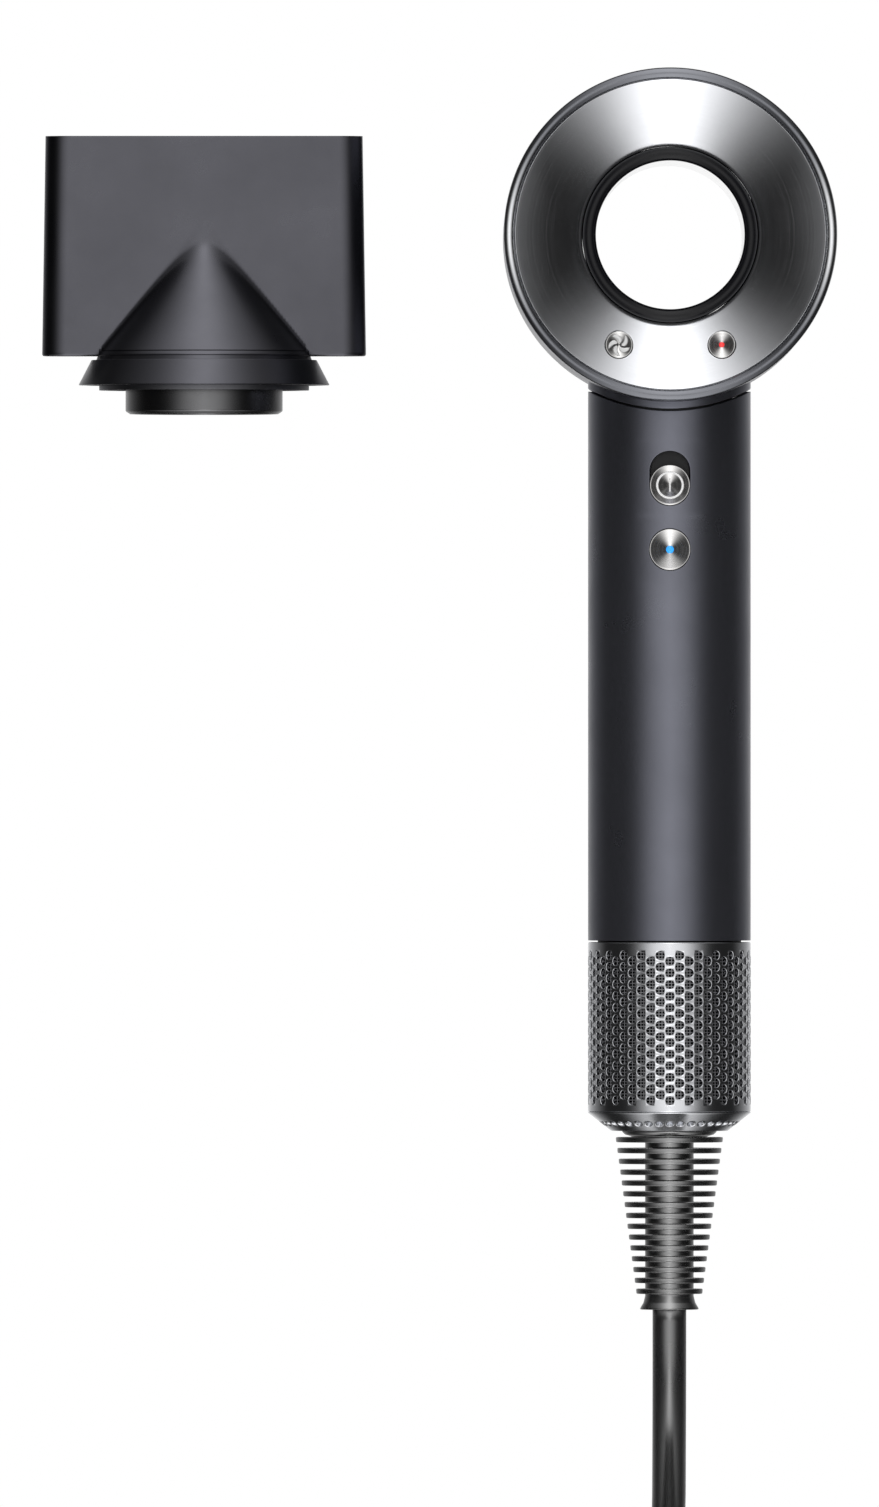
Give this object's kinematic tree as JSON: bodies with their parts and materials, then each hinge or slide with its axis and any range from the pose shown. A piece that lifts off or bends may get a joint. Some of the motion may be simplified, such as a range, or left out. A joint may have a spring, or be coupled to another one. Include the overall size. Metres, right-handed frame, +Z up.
{
  "type": "hair dryer",
  "caption": "Hand-held hair dryer with a round open head, a slim cylindrical handle with the motor inside, a pull-off intake filter, a tied cord with plug, and a loose flat nozzle.",
  "frame": {"origin": "the middle of the grip, on the handle's axis, where a hand or a holder holds the dryer", "axes": "+Z up along the handle towards the head, +Y out of the air outlet, -Y towards the rear funnel, +X to the right seen from behind"},
  "size_m": [0.1863, 0.115, 0.556],
  "materials": {
    "satin_shell": "satin moulded shell, dark slate grey",
    "satin_nozzle": "satin moulded shell, dark slate grey",
    "bright_nickel": "bright satin nickel plating",
    "bright_cage": "bright nickel-plated perforated sleeve",
    "spun_steel": "circular spun face",
    "gloss_black": "gloss black moulding",
    "inner_black": "plain black moulding",
    "soft_rubber": "matt elastomer",
    "cord_rubber": "smooth satin cord sheath",
    "tie_fabric": "woven hook-and-loop strap",
    "screw_steel": "plain steel",
    "core_steel": "dark electrical steel",
    "bare_aluminium": "machined",
    "winding_copper": "enamelled copper wire",
    "heater_wire": "resistance wire",
    "pin_brass": "nickel-plated brass",
    "mica_board": "mica board",
    "white_plastic": "plain white moulding",
    "circuit_green": "circuit board",
    "red_wire": "insulated wire",
    "red_lens": "tinted indicator lens",
    "blue_lens": "tinted indicator lens",
    "foam_grey": "open-cell foam",
    "fine_mesh": "fine woven wire mesh"
  },
  "bodies": {
    "handle": {"handle_shell": "satin_shell", "neck_sleeve": "inner_black", "neck_screws": "screw_steel", "head_shell": "satin_shell", "rear_funnel": "bright_nickel", "air_tube": "gloss_black", "front_ring": "satin_shell", "outlet_magnets": "screw_steel", "heat_shield": "bare_aluminium", "heater_frame": "mica_board", "heater_coil": "heater_wire", "thermal_cutout": "bare_aluminium", "thermistor": "red_lens", "ion_emitter": "white_plastic", "ring_board": "circuit_green", "face_switches": "inner_black", "head_harness": "red_wire", "airflow_spring": "screw_steel", "heat_spring": "screw_steel", "handle_board": "circuit_green", "slide_switch": "inner_black", "cold_spring": "screw_steel", "cold_switch": "inner_black", "motor_housing": "bare_aluminium", "motor_mounts": "soft_rubber", "vane_ring": "bare_aluminium", "bearing_bridge": "bare_aluminium", "bearings": "screw_steel", "stator_core": "core_steel", "stator_coils": "winding_copper", "motor_board": "circuit_green", "silencer_foam": "foam_grey", "inlet_frame": "inner_black", "inlet_mesh": "fine_mesh", "cord_clamp": "inner_black", "strain_relief": "soft_rubber", "cord_inner": "cord_rubber", "lead_wires": "red_wire", "power_cord": "cord_rubber", "cord_hank": "cord_rubber", "hank_tie": "tie_fabric", "plug_body": "soft_rubber", "plug_pins": "pin_brass"},
    "rotor": {"motor_shaft": "screw_steel", "rotor_magnet": "core_steel", "impeller": "bare_aluminium"},
    "power_switch": {"power_slider": "spun_steel", "slider_carriage": "inner_black"},
    "cold_shot": {"cold_shot_button": "spun_steel", "cold_lens": "blue_lens"},
    "airflow_key": {"airflow_button": "spun_steel"},
    "heat_key": {"heat_button": "spun_steel", "heat_lens": "red_lens"},
    "filter": {"filter_cage": "bright_cage", "filter_mesh": "fine_mesh"},
    "nozzle": {"nozzle_shell": "satin_nozzle", "nozzle_core": "gloss_black", "nozzle_keeper": "core_steel"}
  },
  "joints": [
    {"name": "impeller_spin", "type": "hinge", "parent": "handle", "child": "rotor", "pos_m": [0, 0, 0], "axis": [0, 0, 1], "continuous": true},
    {"name": "power_slide", "type": "slide", "parent": "handle", "child": "power_switch", "axis": [0, 0, 1], "range_m": [0, 0.0032]},
    {"name": "cold_shot_press", "type": "slide", "parent": "handle", "child": "cold_shot", "axis": [0, 1, 0], "range_m": [0, 0.0008], "stiffness_N_per_m": 500, "springref_m": -0.0006, "deforming": ["cold_spring"]},
    {"name": "airflow_press", "type": "slide", "parent": "handle", "child": "airflow_key", "axis": [0, 1, 0], "range_m": [0, 0.0008], "stiffness_N_per_m": 400, "springref_m": -0.0006, "deforming": ["airflow_spring"]},
    {"name": "heat_press", "type": "slide", "parent": "handle", "child": "heat_key", "axis": [0, 1, 0], "range_m": [0, 0.0008], "stiffness_N_per_m": 400, "springref_m": -0.0006, "deforming": ["heat_spring"]},
    {"name": "filter_pull", "type": "slide", "parent": "handle", "child": "filter", "axis": [0, 0, -1], "range_m": [0, 0.036]},
    {"name": "nozzle_lift_off", "type": "slide", "parent": "handle", "child": "nozzle", "axis": [-1, 0, 0], "range_m": [0, 0.04]}
  ]
}
